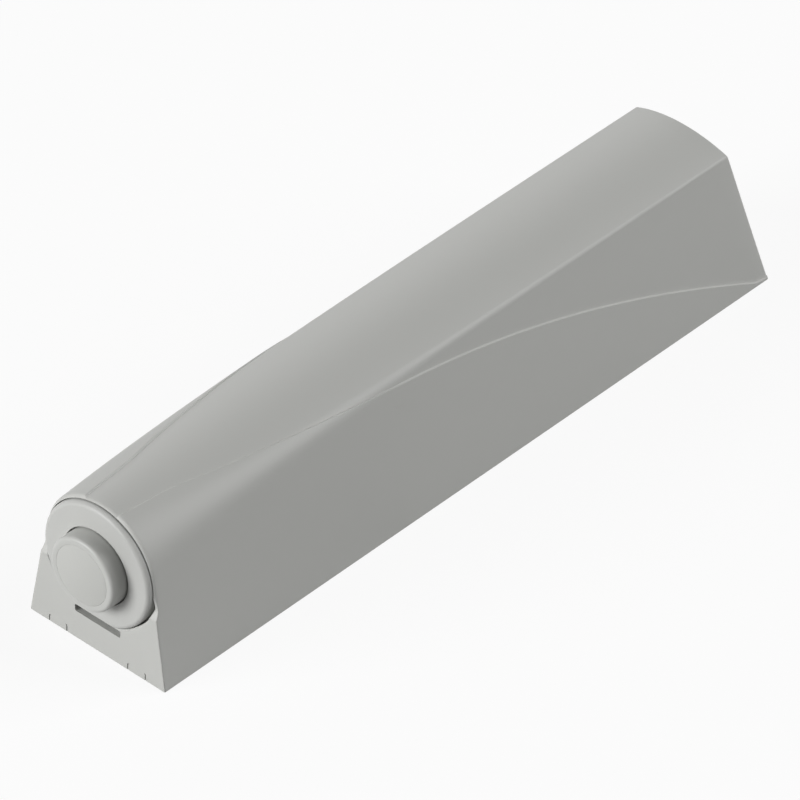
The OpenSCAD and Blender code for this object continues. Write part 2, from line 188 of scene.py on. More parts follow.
def skin_point(s, v, out):
    """Place (y, z) on the skin: v is -1 at the base, 0 where the shoulder starts and 1 at the top."""
    cy, cz, r, end = shoulder(s)
    low_y = cy + r * math.cos(FLANK_LEAN)
    low_z = cz + r * math.sin(FLANK_LEAN)
    if v <= 0:
        z = (1 + v) * low_z
        return half_width(z) + out / math.cos(FLANK_LEAN), z
    turn = FLANK_LEAN + v * (math.pi / 2 - FLANK_LEAN)
    if turn < end:
        return cy + (r + out) * math.cos(turn), cz + (r + out) * math.sin(turn)
    a = arch_r(s) + out
    return a * math.cos(turn), arch_z(s) + a * math.sin(turn)


def place_of(s, z):
    """The v at which the skin reaches a height."""
    cy, cz, r, end = shoulder(s)
    low_z = cz + r * math.sin(FLANK_LEAN)
    if z <= low_z:
        return z / low_z - 1
    a = arch_r(s)
    on_shoulder = z < arch_z(s) + a * math.sin(end)
    turn = math.asin(min(1, (z - cz) / r)) if on_shoulder else math.asin(min(1, (z - arch_z(s)) / a))
    return (turn - FLANK_LEAN) / (math.pi / 2 - FLANK_LEAN)


def cubic(values, t):
    a, b, c, d = values
    return (1 - t) ** 3 * a + 3 * (1 - t) ** 2 * t * b + 3 * (1 - t) * t * t * c + t ** 3 * d


def step_z(s):
    """Height of the styling step at a distance s, from its cubic curve."""
    low, high = 0.0, 1.0
    for _ in range(CURVE_ROUNDS):
        t = (low + high) / 2
        if cubic([p[0] for p in STEP_CURVE], t) < s:
            low = t
        else:
            high = t
    z = cubic([p[1] for p in STEP_CURVE], low)
    return max(smooth_min(z, STEP_TOP_Z, STEP_TOP_SOFT), STEP_LOW_Z)


def smooth_min(a, b, soft):
    """The smaller of two values, rounded where they are nearly equal."""
    h = max(soft - abs(a - b), 0) / soft
    return min(a, b) - h * h * soft / 4


def face_depth(z):
    """How far the front face lies back at a height."""
    ear = (z - EAR_Z) * math.tan(EAR_LEAN)
    ear = -smooth_min(-ear, 0, EAR_SOFT / 2)
    return max(smooth_min(ear, NOTCH_DEPTH, EAR_SOFT), 0)


def ramp(value, ends):
    """Goes from 0 to 1 between two ends."""
    return min(1, max(0, (value - ends[0]) / (ends[1] - ends[0])))


def above_ears(z):
    """0 up to the ears' tops and 1 along the rim over them."""
    return ramp(z, RIM_Z)


def ear_gap(z):
    """How much wider the seat is at a height."""
    return EAR_GAP * (1 - above_ears(z)) * ramp(z, EAR_GAP_Z)


def seat_share(z):
    """Share of the notch's depth that the edge of the collar's seat has at a height."""
    return 1 - (1 - RIM_SHARE) * above_ears(z)


def lerp(a, b, t):
    return tuple(p + (q - p) * t for p, q in zip(a, b))


def corner(a, b, c, t):
    """Place on a rounded corner b between a and c."""
    return lerp(lerp(a, b, t), lerp(b, c, t), t)


# Columns of the skin's grid, from the middle of the base up to the middle of the top

BASE_COLUMNS = 10
EDGE_COLUMNS = 4
LOW_COLUMNS = 120
STEP_COLUMNS = 6
HIGH_COLUMNS = 80
SKIN_ROWS = 96
CORNER_ROWS = 5
FACE_ROWS = 14
LIP_ROWS = 3
# How far the columns below the step are moved, and the share of it that those in the upper half take
LOW_SPREAD = 0.055
UPPER_SHARE = 0.35
# Shares of the way to the middle of the rear end at which its rings lie
REAR_RINGS = (0, 0.03, 0.1, 0.3, 0.65)
# The rows are closer together near the front: the share of even spacing in their spread
EVEN_ROWS = 0.3
# The section whose columns the front face follows
FACE_S = 0.3
# The step's width is measured over this short way on either side of it
STEP_PROBE = 0.002


def low_spread(g):
    """Spreads the columns below the step, closest together where the ears start."""
    return g + LOW_SPREAD * math.sin(2 * math.pi * g) * (1 if g < 0.5 else UPPER_SHARE)


def half_column(s, kind, g):
    """Place (y, z) of a column at s, where g runs from 0 to 1 within its kind."""
    if kind == "base":
        return g * (half_width(0) - BASE_EDGE_R), 0.0
    cut = place_of(s, step_z(s))
    flank_h = shoulder(s)[1] + shoulder(s)[2] * math.sin(FLANK_LEAN)
    start = BASE_EDGE_R / flank_h - 1
    if kind == "edge":
        foot = (half_width(0) + STEP_H / 2, 0.0)
        return corner((half_width(0) - BASE_EDGE_R, 0.0), foot, skin_point(s, start, STEP_H / 2), g)
    a = skin_point(s, cut - STEP_PROBE, 0)
    b = skin_point(s, cut + STEP_PROBE, 0)
    half_step = STEP_PROBE * STEP_W / math.dist(a, b)
    if kind == "low":
        return skin_point(s, start + (cut - half_step - start) * low_spread(g), STEP_H / 2)
    if kind == "step":
        fall = g * g * (3 - 2 * g)
        return skin_point(s, cut + (2 * g - 1) * half_step, STEP_H * (0.5 - fall))
    return skin_point(s, cut + half_step + (1 - cut - half_step) * g, -STEP_H / 2)


def half_columns():
    """Kind and place of each column, without doubles."""
    columns = [("base", i / BASE_COLUMNS) for i in range(BASE_COLUMNS)]
    columns += [("edge", i / EDGE_COLUMNS) for i in range(EDGE_COLUMNS)]
    columns += [("low", i / LOW_COLUMNS) for i in range(LOW_COLUMNS)]
    columns += [("step", i / STEP_COLUMNS) for i in range(STEP_COLUMNS)]
    return columns + [("high", i / HIGH_COLUMNS) for i in range(HIGH_COLUMNS + 1)]


def rear_s(z):
    return BODY_L - z * math.tan(REAR_LEAN)


def front_line(y, z):
    """Points (s, y, z) from the seat's floor out over the front face, the point at the face's edge, and
    how far back the face lies there."""
    reach = math.hypot(y, z - AXIS_Z)
    seat_r = SEAT_R + ear_gap(AXIS_Z + (z - AXIS_Z) * SEAT_R / reach)
    room = reach - seat_r
    edge = min(FRONT_EDGE_R, EDGE_SHARE * room)
    lip = min(SEAT_EDGE_R, LIP_SHARE * room)

    def inward(w, s):
        k = 1 - w / reach
        return s, y * k, AXIS_Z + (z - AXIS_Z) * k

    def face(w):
        height = AXIS_Z + (z - AXIS_Z) * (1 - w / reach)
        share = 1 - (1 - seat_share(height)) * w / room
        return inward(w, face_depth(height) * share)

    floor = [inward(seat_r * k / SEAT_RINGS + room, SEAT_DEPTH) for k in range(SEAT_RINGS - 1, 0, -1)]
    wall = [inward(room, s) for s in (SEAT_DEPTH, SEAT_WALL_S)]
    seat_top = face(room)
    wall_point = (seat_top[0] + lip, seat_top[1], seat_top[2])
    lip_line = [corner(wall_point, seat_top, face(room - lip), i / LIP_ROWS) for i in range(LIP_ROWS)]
    flat = [face(room - lip + (edge - room + lip) * i / FACE_ROWS) for i in range(FACE_ROWS)]
    return floor + wall + lip_line + flat, face(edge), face(0)[0]


def skin_line(kind, g, start):
    """Points of one column from behind the front edge to before the rear edge."""
    line = []
    back = rear_s(half_column(FACE_S, kind, g)[1])
    for i in range(SKIN_ROWS + 1):
        t = i / SKIN_ROWS
        u = EVEN_ROWS * t + (1 - EVEN_ROWS) * t * t
        s = start + (back - REAR_EDGE_R - start) * u
        # The rear end slants, so the column's length and its height there settle together
        for _ in range(REAR_ROUNDS):
            z = half_column(s, kind, g)[1]
            s = start + (rear_s(z) - REAR_EDGE_R - start) * u
        line.append((s, *half_column(s, kind, g)))
    return line


def rear_line(last):
    """Points round the rear edge and over the rear end towards its middle."""
    edge = (rear_s(last[2]), last[1], last[2])
    centre = (rear_s(REAR_MIDDLE_Z), 0.0, REAR_MIDDLE_Z)
    inner = lerp(edge, centre, REAR_EDGE_R / math.dist(edge, centre))
    line = [corner(last, edge, inner, i / CORNER_ROWS) for i in range(1, CORNER_ROWS)]
    return line + [lerp(inner, centre, k) for k in REAR_RINGS]


def column_line(kind, g):
    """Points of one column, from the seat's floor out over the front face and back to the rear."""
    y, z = half_column(FACE_S, kind, g)
    line, face_edge, front = front_line(y, z)
    skin = skin_line(kind, g, front + FRONT_EDGE_R)
    line += [corner(face_edge, (front, y, z), skin[0], i / CORNER_ROWS) for i in range(CORNER_ROWS)]
    return line + skin + rear_line(skin[-1])


def place(s, y, z):
    """A point of the frame, in metres."""
    return (FRONT_X - s) * MM, y * MM, z * MM


def mesh_object(name, points, faces):
    """An object of these faces, with their normals outward."""
    mesh = bpy.data.meshes.new(name)
    mesh.from_pydata(points, [], faces)
    work = bmesh.new()
    work.from_mesh(mesh)
    bmesh.ops.recalc_face_normals(work, faces=work.faces)
    work.to_mesh(mesh)
    work.free()
    piece = bpy.data.objects.new(name, mesh)
    bpy.context.scene.collection.objects.link(piece)
    return piece


def skin_solid():
    """The housing's outer skin as one closed grid, with the collar's seat in its front."""
    half = [column_line(kind, g) for kind, g in half_columns()]
    mirrored = [[(s, -y, z) for s, y, z in line] for line in half[-2:0:-1]]
    columns = half + mirrored
    count = len(columns)
    rows = len(columns[0])
    points = [place(*p) for line in columns for p in line]
    faces = []
    for j in range(count):
        a = j * rows
        b = (j + 1) % count * rows
        faces += [(a + i, b + i, b + i + 1, a + i + 1) for i in range(rows - 1)]
    points += [place(SEAT_DEPTH, 0, AXIS_Z), place(rear_s(REAR_MIDDLE_Z), 0, REAR_MIDDLE_Z)]
    seat_centre = count * rows
    for j in range(count):
        a = j * rows
        b = (j + 1) % count * rows
        faces += [(seat_centre, b, a), (seat_centre + 1, a + rows - 1, b + rows - 1)]
    return mesh_object("adapter_housing_shell", points, faces)


# Cutting shapes for the inside, the slot and the ticks. Each one runs a little past what it cuts.

PAST = 0.5
UNDER_Z = -1.0
CELL_OVERLAP = 0.1
ARC_SIDES = 48
BAR_SIDES = 96
CORNER_SIDES = 4
TICK_LEAN = 0.8
TICK_BEND = 0.8


def solid_between(first, last):
    """Points and faces of the solid between two like outlines."""
    n = len(first)
    faces = [(i, (i + 1) % n, n + (i + 1) % n, n + i) for i in range(n)]
    return first + last, faces + [tuple(range(n)), tuple(range(2 * n - 1, n - 1, -1))]


def prism(outline, s0, s1):
    """A prism along the part. Its ends are at s0 and s1, which may be functions of z."""
    ends = ([place(e(z) if callable(e) else e, y, z) for y, z in outline] for e in (s0, s1))
    return solid_between(*ends)


def solids(name, parts):
    """One object of several separate solids."""
    points, faces = [], []
    for part_points, part_faces in parts:
        start = len(points)
        points += part_points
        faces += [tuple(start + i for i in face) for face in part_faces]
    return mesh_object(name, points, faces)


def slot_cut():
    """The release slot's opening, with rounded corners."""
    half_w, half_h = SLOT_W / 2 - SLOT_CORNER_R, SLOT_H / 2 - SLOT_CORNER_R
    outline = []
    for i in range(4):
        for k in range(CORNER_SIDES + 1):
            a = math.pi / 2 * (i + k / CORNER_SIDES)
            side_y = half_w if i in (0, 3) else -half_w
            side_z = half_h if i < 2 else -half_h
            outline.append((side_y + SLOT_CORNER_R * math.cos(a),
                            SLOT_Z + SLOT_H / 2 + side_z + SLOT_CORNER_R * math.sin(a)))
    return prism(outline, -PAST, FRONT_WALL + PAST)


def inner_half_width(z):
    return half_width(z) - WALL / math.cos(FLANK_LEAN)


def inner_rear_s(z):
    return rear_s(z) - WALL / math.cos(REAR_LEAN)


def channel():
    """The open space under the ribs."""
    low, high = inner_half_width(UNDER_Z), inner_half_width(RIB_LOW_Z)
    outline = [(-low, UNDER_Z), (low, UNDER_Z), (high, RIB_LOW_Z), (-high, RIB_LOW_Z)]
    return prism(outline, FRONT_WALL, inner_rear_s)


def cell_outline():
    """The space round the cartridge, from just under the ribs' lower edge up."""
    low_z = RIB_LOW_Z - CELL_OVERLAP
    top_z = AXIS_Z + CELL_R * math.sin(FLANK_LEAN)
    right = [(inner_half_width(low_z), low_z), (inner_half_width(top_z), top_z)]
    turns = [FLANK_LEAN + (math.pi - 2 * FLANK_LEAN) * i / ARC_SIDES for i in range(1, ARC_SIDES)]
    arc = [(CELL_R * math.cos(a), AXIS_Z + CELL_R * math.sin(a)) for a in turns]
    return right + arc + [(-y, z) for y, z in reversed(right)]


def bays():
    """The cells between the ribs, each as one solid."""
    edges = [FRONT_WALL]
    for count, s0, s1 in ((2, FRONT_WALL, KEEPER_BAY[0]), (1, KEEPER_BAY[1], SLEEVE_END_S)):
        for i in range(1, count + 1):
            s = s0 + i * (s1 - s0) / (count + 1)
            edges += [s, s + RIB_T]
    edges += [PLUG_END_S + CLIP_GAP, PLUG_END_S + CLIP_GAP + RIB_T, inner_rear_s]
    return [prism(cell_outline(), edges[i], edges[i + 1]) for i in range(0, len(edges), 2)]


def round_bar(s0, s1, r):
    turns = [2 * math.pi * i / BAR_SIDES for i in range(BAR_SIDES)]
    return prism([(r * math.cos(a), AXIS_Z + r * math.sin(a)) for a in turns], s0, s1)


def ticks():
    """Fine grooves at the base of the front face. The head of each one leans to its neighbour."""
    cuts = []
    for y, lean in TICK_PLACES:
        for side in (-1, 1):
            head = y + TICK_LEAN * lean * TICK_W
            bend = TICK_BEND * TICK_H
            outline = [(y - TICK_W / 2, -PAST), (y + TICK_W / 2, -PAST), (y + TICK_W / 2, bend),
                       (head + TICK_W / 2, TICK_H), (head - TICK_W / 2, TICK_H), (y - TICK_W / 2, bend)]
            cuts.append(prism([(side * py, pz) for py, pz in outline], -PAST, TICK_D))
    return cuts


def ledges():
    """The ledges in the side walls that the base plate's hooks grip."""
    inner = inner_half_width(LEDGE_Z) - LEDGE_D
    outer = inner + LEDGE_D + WALL / 2
    low_z = LEDGE_Z - LEDGE_H
    outline = [(inner, low_z), (outer, low_z), (outer, LEDGE_Z), (inner, LEDGE_Z)]
    bars = []
    for x in (-HOOK_X, HOOK_X):
        start = FRONT_X - x - LEDGE_L / 2
        for side in (-1, 1):
            bars.append(prism([(side * y, z) for y, z in outline], start, start + LEDGE_L))
    return bars


def apply_modifiers(piece):
    """Turns the evaluated object into a plain mesh."""
    bpy.context.view_layer.update()
    evaluated = piece.evaluated_get(bpy.context.evaluated_depsgraph_get())
    mesh = bpy.data.meshes.new_from_object(evaluated)
    piece.modifiers.clear()
    piece.data = mesh


def combine(piece, tools, operation="DIFFERENCE"):
    """Cuts each tool away from the piece, or joins it on."""
    for tool in tools:
        change = piece.modifiers.new("combine", "BOOLEAN")
        change.operation = operation
        change.solver = "MANIFOLD"
        change.object = tool
        apply_modifiers(piece)
        bpy.data.objects.remove(tool)


SHARP_ANGLE = math.radians(32)


def smooth(piece):
    piece.data.shade_smooth()
    piece.data.set_sharp_from_angle(angle=SHARP_ANGLE)


def adapter_housing_shell():
    piece = skin_solid()
    combine(piece, [solids("channel", [channel()]), solids("bays", bays()),
                    solids("bore", [round_bar(SLEEVE_S, SLEEVE_END_S, SLEEVE_R + CLIP_GAP)]),
                    solids("marks", [slot_cut(), *ticks()])])
    combine(piece, [solids("ledges", ledges())], "UNION")
    smooth(piece)
    return piece


# Turned pieces

TURNS = 192
SAME_POINT = 1e-8


def turned(name, profile):
    """A closed ring or disc turned about the cartridge's axis. Its profile lists radius and s."""
    points, faces = [], []
    n = len(profile)
    for i in range(TURNS):
        a = 2 * math.pi * i / TURNS
        points += [place(s, r * math.cos(a), AXIS_Z + r * math.sin(a)) for r, s in profile]
    for i in range(TURNS):
        a, b = i * n, (i + 1) % TURNS * n
        faces += [(a + j, a + (j + 1) % n, b + (j + 1) % n, b + j) for j in range(n)]
    piece = mesh_object(name, points, faces)
    work = bmesh.new()
    work.from_mesh(piece.data)
    bmesh.ops.remove_doubles(work, verts=work.verts, dist=SAME_POINT)
    bmesh.ops.recalc_face_normals(work, faces=work.faces)
    work.to_mesh(piece.data)
    work.free()
    return piece


def rounded(points, radii, steps=8):
    """A closed profile whose corners are rounded with these radii."""
    out = []
    n = len(points)
    for i, (p, r) in enumerate(zip(points, radii)):
        if r == 0:
            out.append(p)
            continue
        before = Vector(points[i - 1]) - Vector(p)
        after = Vector(points[(i + 1) % n]) - Vector(p)
        half = before.angle(after) / 2
        run = r / math.tan(half)
        centre = Vector(p) + (before.normalized() + after.normalized()).normalized() * (r / math.sin(half))
        start = Vector(p) + before.normalized() * run - centre
        end = Vector(p) + after.normalized() * run - centre
        sweep = start.angle_signed(end)
        for k in range(steps + 1):
            out.append(tuple(centre + Matrix.Rotation(-sweep * k / steps, 2) @ start))
    return out


COLLAR_R = (COLLAR_HIGH.z - COLLAR_LOW.z) / 2
# The ring's face lies this far behind the CAD collar's
COLLAR_BACK = 0.08
COLLAR_FRONT_S = FRONT_X - COLLAR_HIGH.x + COLLAR_BACK
COLLAR_HOLE_R = 4.3
COLLAR_EDGE_R = 0.5
COLLAR_REAR_EDGE_R = 0.1
COLLAR_FIT = 0.02
LEAD_R = 0.05
FLAT_GAP = 0.02
FLAT_SLOPE = 1.05
FLAT_REACH = 2.0


def slot_flat():
    """Cutting shape for the collar's flat over the release slot, which slopes up towards the front."""
    z = SLOT_Z + SLOT_H + FLAT_GAP
    outline = [(-FLAT_REACH, 0), (FLAT_REACH, 0), (FLAT_REACH, z), (0, z),
               (-FLAT_REACH, z + FLAT_SLOPE * FLAT_REACH)]
    sides = ([place(s, y, h) for s, h in outline] for y in (-SLOT_W, SLOT_W))
    return solids("slot_flat", [solid_between(*sides)])


def front_collar_ring():
    seat_r = SLEEVE_R + COLLAR_FIT
    profile = [(COLLAR_HOLE_R, SLEEVE_S), (COLLAR_HOLE_R, COLLAR_FRONT_S), (COLLAR_R, COLLAR_FRONT_S),
               (COLLAR_R, SEAT_DEPTH), (seat_r, SEAT_DEPTH), (seat_r, SLEEVE_S)]
    radii = [0, LEAD_R, COLLAR_EDGE_R, COLLAR_REAR_EDGE_R, 0, 0]
    piece = turned("front_collar_ring", rounded(profile, radii))
    combine(piece, [slot_flat()])
    smooth(piece)
    return piece


PLUNGER_R = (PLUNGER_HIGH.z - PLUNGER_LOW.z) / 2
BUTTON_S = FRONT_X - PLUNGER_HIGH.x
PLUNGER_END_S = FRONT_X - PLUNGER_LOW.x
PAD_R = (PAD_HIGH.z - PAD_LOW.z) / 2
PAD_SEAT_S = FRONT_X - PAD_LOW.x
SPRING_BORE_R = 2.8
SPRING_SEAT_S = 0.8
BUTTON_EDGE_R = 0.38
TUBE_EDGE_R = 0.15
POCKET_GAP = 0.01
POCKET_EDGE_R = 0.015
PAD_CROWN = 0.36
PAD_CROWN_RINGS = 12
PAD_EDGE_R = 0.02

# Latch track on the underside of the plunger
LATCH_S = 37.5
TRACK_W = 0.8
TRACK_D = 0.85
LANE_Y = 1.1
HEART_L = 8.0
FORK_L = 3.0
NOTCH_L = 0.5
STROKE_OUT = 34.0
STROKE_IN = 1.8


def track_ring(outline, hole):
    """A prism along Z with a hole through it, made of walls between two outlines and two caps."""
    work = bmesh.new()
    loops = []
    top_z = AXIS_Z - PLUNGER_R + TRACK_D
    for z in (top_z, AXIS_Z - 2 * PLUNGER_R):
        for line in (outline, hole):
            loops.append([work.verts.new(place(s, y, z)) for s, y in line])
    for a, b in ((loops[0], loops[2]), (loops[1], loops[3])):
        for i in range(len(a)):
            k = (i + 1) % len(a)
            work.faces.new((a[i], a[k], b[k], b[i]))
    for cap in (loops[:2], loops[2:]):
        edges = [work.edges.get((line[i - 1], line[i])) for line in cap for i in range(len(line))]
        bmesh.ops.triangle_fill(work, use_beauty=True, use_dissolve=False, edges=edges)
    bmesh.ops.recalc_face_normals(work, faces=work.faces)
    mesh = bpy.data.meshes.new("track")
    work.to_mesh(mesh)
    work.free()
    cutter = bpy.data.objects.new("track", mesh)
    bpy.context.scene.collection.objects.link(cutter)
    return cutter


def latch_track():
    """The long lane of the outward travel, and the loop round the heart whose notch holds the wire."""
    w = TRACK_W / 2
    side = LANE_Y + w
    fork = HEART_L - FORK_L
    half = [(STROKE_OUT + w, w), (HEART_L, w), (fork, side), (w - STROKE_IN, side),
            (-STROKE_IN - w, side - w)]
    island = LANE_Y - w
    heart = [(NOTCH_L, 0), (NOTCH_L - island, island), (fork, island), (HEART_L - w, 0),
             (fork, -island), (NOTCH_L - island, -island)]
    outline = half + [(s, -y) for s, y in reversed(half)]
    return track_ring([(LATCH_S + s, y) for s, y in outline], [(LATCH_S + s, y) for s, y in heart])


def plunger_tube():
    pocket_r = PAD_R + POCKET_GAP
    profile = [(0, SPRING_SEAT_S), (0, PAD_SEAT_S), (pocket_r, PAD_SEAT_S), (pocket_r, BUTTON_S),
               (PLUNGER_R, BUTTON_S), (PLUNGER_R, PLUNGER_END_S), (SPRING_BORE_R, PLUNGER_END_S),
               (SPRING_BORE_R, SPRING_SEAT_S)]
    radii = [0, 0, 0, POCKET_EDGE_R, BUTTON_EDGE_R, TUBE_EDGE_R, 0, 0]
    piece = turned("plunger_tube", rounded(profile, radii))
    combine(piece, [latch_track()])
    smooth(piece)
    return piece


def buffer_pad_disc():
    """The pad, whose face is a shallow dome."""
    shares = [k / PAD_CROWN_RINGS for k in range(PAD_CROWN_RINGS + 1)]
    crown = [(PAD_R * k, BUTTON_S - PAD_CROWN * (1 - k ** 2)) for k in shares]
    profile = [(0, PAD_SEAT_S), *crown, (PAD_R, PAD_SEAT_S)]
    piece = turned("buffer_pad_disc", rounded(profile, [0] * len(crown) + [PAD_EDGE_R, 0]))
    smooth(piece)
    return piece


# Drive spring

SPRING_LOW, SPRING_HIGH = box_mm("drive_spring")
WIRE_R = 0.3
COIL_R = SPRING_HIGH.y - WIRE_R
COIL_TURNS = 33
TURN_STEPS = 24
WIRE_SIDES = 12


def coil_s(turn):
    """Distance s of the wire's middle after some turns. The first and last turn lie closed."""
    run = SPRING_HIGH.x - SPRING_LOW.x - 2 * WIRE_R
    front_s = FRONT_X - SPRING_HIGH.x + WIRE_R
    if turn < 1:
        return front_s + 2 * WIRE_R * turn
    if turn > COIL_TURNS - 1:
        return front_s + run - 2 * WIRE_R * (COIL_TURNS - turn)
    return front_s + 2 * WIRE_R + (run - 4 * WIRE_R) * (turn - 1) / (COIL_TURNS - 2)


def drive_spring_coil():
    """The spring as one closed wire."""
    points, faces = [], []
    count = COIL_TURNS * TURN_STEPS
    for i in range(count + 1):
        a = 2 * math.pi * i / TURN_STEPS
        for j in range(WIRE_SIDES):
            b = 2 * math.pi * j / WIRE_SIDES
            d = COIL_R + WIRE_R * math.cos(b)
            s = coil_s(i / TURN_STEPS) + WIRE_R * math.sin(b)
            points.append(place(s, d * math.cos(a), AXIS_Z + d * math.sin(a)))
    for i in range(count):
        for j in range(WIRE_SIDES):
            a, b = i * WIRE_SIDES + j, i * WIRE_SIDES + (j + 1) % WIRE_SIDES
            faces.append((a, b, b + WIRE_SIDES, a + WIRE_SIDES))
    last = count * WIRE_SIDES
    faces += [tuple(range(WIRE_SIDES)), tuple(range(last, last + WIRE_SIDES))]
    piece = mesh_object("drive_spring_coil", points, faces)
    smooth(piece)
    return piece


# Materials

class Maths:
    """A shader value that adds Math nodes when it is used in an expression."""

    def __init__(self, finish, socket):
        self.finish = finish
        self.socket = socket

    def _with(self, operation, first, second):
        return self.finish.maths(operation, first, second)

    def __add__(self, other):
        return self._with("ADD", self, other)

    __radd__ = __add__

    def __mul__(self, other):
        return self._with("MULTIPLY", self, other)

    __rmul__ = __mul__

    def __sub__(self, other):
        return self._with("SUBTRACT", self, other)

    def __rsub__(self, other):
        return self._with("SUBTRACT", other, self)


class Finish:
    """A procedural material around one Principled shader."""

    def __init__(self, name, **constants):
        self.material = bpy.data.materials.new(name)
        self.material.use_nodes = True
        self.tree = self.material.node_tree
        self.shader = self.tree.nodes["Principled BSDF"]
        for socket, value in constants.items():
            self.shader.inputs[socket.replace("_", " ")].default_value = value
        self.place = self.node("ShaderNodeTexCoord").outputs["Object"]

    def node(self, kind, settings=(), **sockets):
        """Any node: its settings first, then the values or links of its sockets."""
        made = self.tree.nodes.new(kind)
        for key, value in dict(settings).items():
            setattr(made, key, value)
        for key, value in sockets.items():
            self.put(made.inputs[int(key[1:]) if key[1:].isdigit() else key.replace("_", " ")], value)
        return made

    def put(self, socket, value):
        if isinstance(value, Maths):
            value = value.socket
        if isinstance(value, bpy.types.NodeSocket):
            self.tree.links.new(value, socket)
        else:
            socket.default_value = value

    def maths(self, operation, first, second):
        made = self.node("ShaderNodeMath", {"operation": operation}, i0=first, i1=second)
        return Maths(self, made.outputs[0])

    def noise(self, scale, detail=2.0, stretch=(1, 1, 1)):
        """Noise from 0 to 1, with its grains per metre and its stretch along the axes."""
        mapping = self.node("ShaderNodeMapping", Vector=self.place, Scale=stretch)
        made = self.node("ShaderNodeTexNoise", Vector=mapping.outputs[0], Scale=scale, Detail=detail)
        return Maths(self, made.outputs[0])

    def between(self, factor, first, second):
        """A colour between two colours."""
        made = self.node("ShaderNodeMix", {"data_type": "RGBA"}, i0=factor, i6=(*first, 1), i7=(*second, 1))
        return made.outputs[2]

    def use(self, **sockets):
        for key, value in sockets.items():
            self.put(self.shader.inputs[key.replace("_", " ")], value)

    def bump(self, height, distance, strength=1.0):
        made = self.node("ShaderNodeBump", Height=height, Distance=distance, Strength=strength)
        self.put(self.shader.inputs["Normal"], made.outputs[0])


def tinted(colour, amount):
    return tuple(c * (1 + amount) for c in colour)


def moulded_plastic(name, colour, roughness=0.46, grain=4e-6):
    """Satin moulded plastic: a fine spark-eroded grain, with soft flow marks in tone and gloss."""
    finish = Finish(name, IOR=1.47)
    flow = finish.noise(90, 3.0, (1, 2.5, 2.5))
    fine = finish.noise(5200, 2.0)
    finish.use(Base_Color=finish.between(flow, tinted(colour, -0.012), tinted(colour, 0.012)),
               Roughness=roughness - 0.03 + flow * 0.04 + fine * 0.02)
    finish.bump(fine, grain)
    return finish.material


def soft_rubber(name, colour):
    """Matt elastomer with a slightly uneven, fine-pored face."""
    finish = Finish(name, IOR=1.45)
    pores = finish.noise(7000, 3.0)
    bloom = finish.noise(260, 2.0)
    finish.use(Base_Color=finish.between(bloom, tinted(colour, -0.02), tinted(colour, 0.02)),
               Roughness=0.58 + bloom * 0.06)
    finish.bump(pores, 6e-6)
    return finish.material


def drawn_steel(name, colour):
    """Bright wire with fine drawing lines and a touch of oil stain."""
    finish = Finish(name, Metallic=1.0)
    lines = finish.noise(3000, 2.0, (0.05, 1, 1))
    stain = finish.noise(400, 3.0)
    finish.use(Base_Color=finish.between(stain, tinted(colour, -0.12), colour), Roughness=0.2 + lines * 0.14)
    finish.bump(lines, 3e-6)
    return finish.material


HOUSING_GREY = (0.503, 0.507, 0.487)
COLLAR_GREY = (0.503, 0.507, 0.49)
FINISHES = {
    "housing_plastic": moulded_plastic("housing_plastic", HOUSING_GREY),
    "plate_plastic": moulded_plastic("plate_plastic", (0.44, 0.445, 0.43), 0.5, 8e-6),
    "sleeve_plastic": moulded_plastic("sleeve_plastic", (0.3, 0.3, 0.295), 0.38),
    "collar_plastic": moulded_plastic("collar_plastic", COLLAR_GREY, 0.44),
    "plunger_plastic": moulded_plastic("plunger_plastic", (0.5, 0.505, 0.485), 0.4),
    "pad_rubber": soft_rubber("pad_rubber", (0.495, 0.5, 0.479)),
    "stop_rubber": soft_rubber("stop_rubber", (0.05, 0.05, 0.052)),
    "spring_steel": drawn_steel("spring_steel", (0.6, 0.6, 0.6)),
}


def dress(piece, slot):
    piece.data.materials.clear()
    piece.data.materials.append(FINISHES[slot])


def add_pieces():
    made = [(adapter_housing_shell(), "adapter_housing", "housing_plastic", "housing"),
            (front_collar_ring(), "front_collar", "collar_plastic", "housing"),
            (plunger_tube(), "plunger", "plunger_plastic", "button"),
            (buffer_pad_disc(), "buffer_pad", "pad_rubber", "button")]
    for piece, node, slot, body in made:
        dress(piece, slot)
        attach(piece, body)
        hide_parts(node)
    spring = drive_spring_coil()
    dress(spring, "spring_steel")
    rear_seat = place(coil_s(COIL_TURNS - 1), 0, AXIS_Z)
    front_seat = place(coil_s(1), 0, AXIS_Z)
    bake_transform(spring)
    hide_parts("drive_spring")
    for part in frame["record"]["subparts"]:
        dress(frame["nodes"][part["node"]], part["material_slot"])


# Camera, floor and light. The camera's values were fitted to the photo's edges.

AZIMUTH = math.radians(39.97)
ELEVATION = math.radians(38.51)
ROLL = math.radians(2.82)
DISTANCE = 700.0
TARGET = Vector((1.0, 0.0, 9.0))
OFFSET = (-0.0721, -2.1567)
PIXELS_PER_MM = 9.94874
PICTURE = 800
SENSOR = 36.0


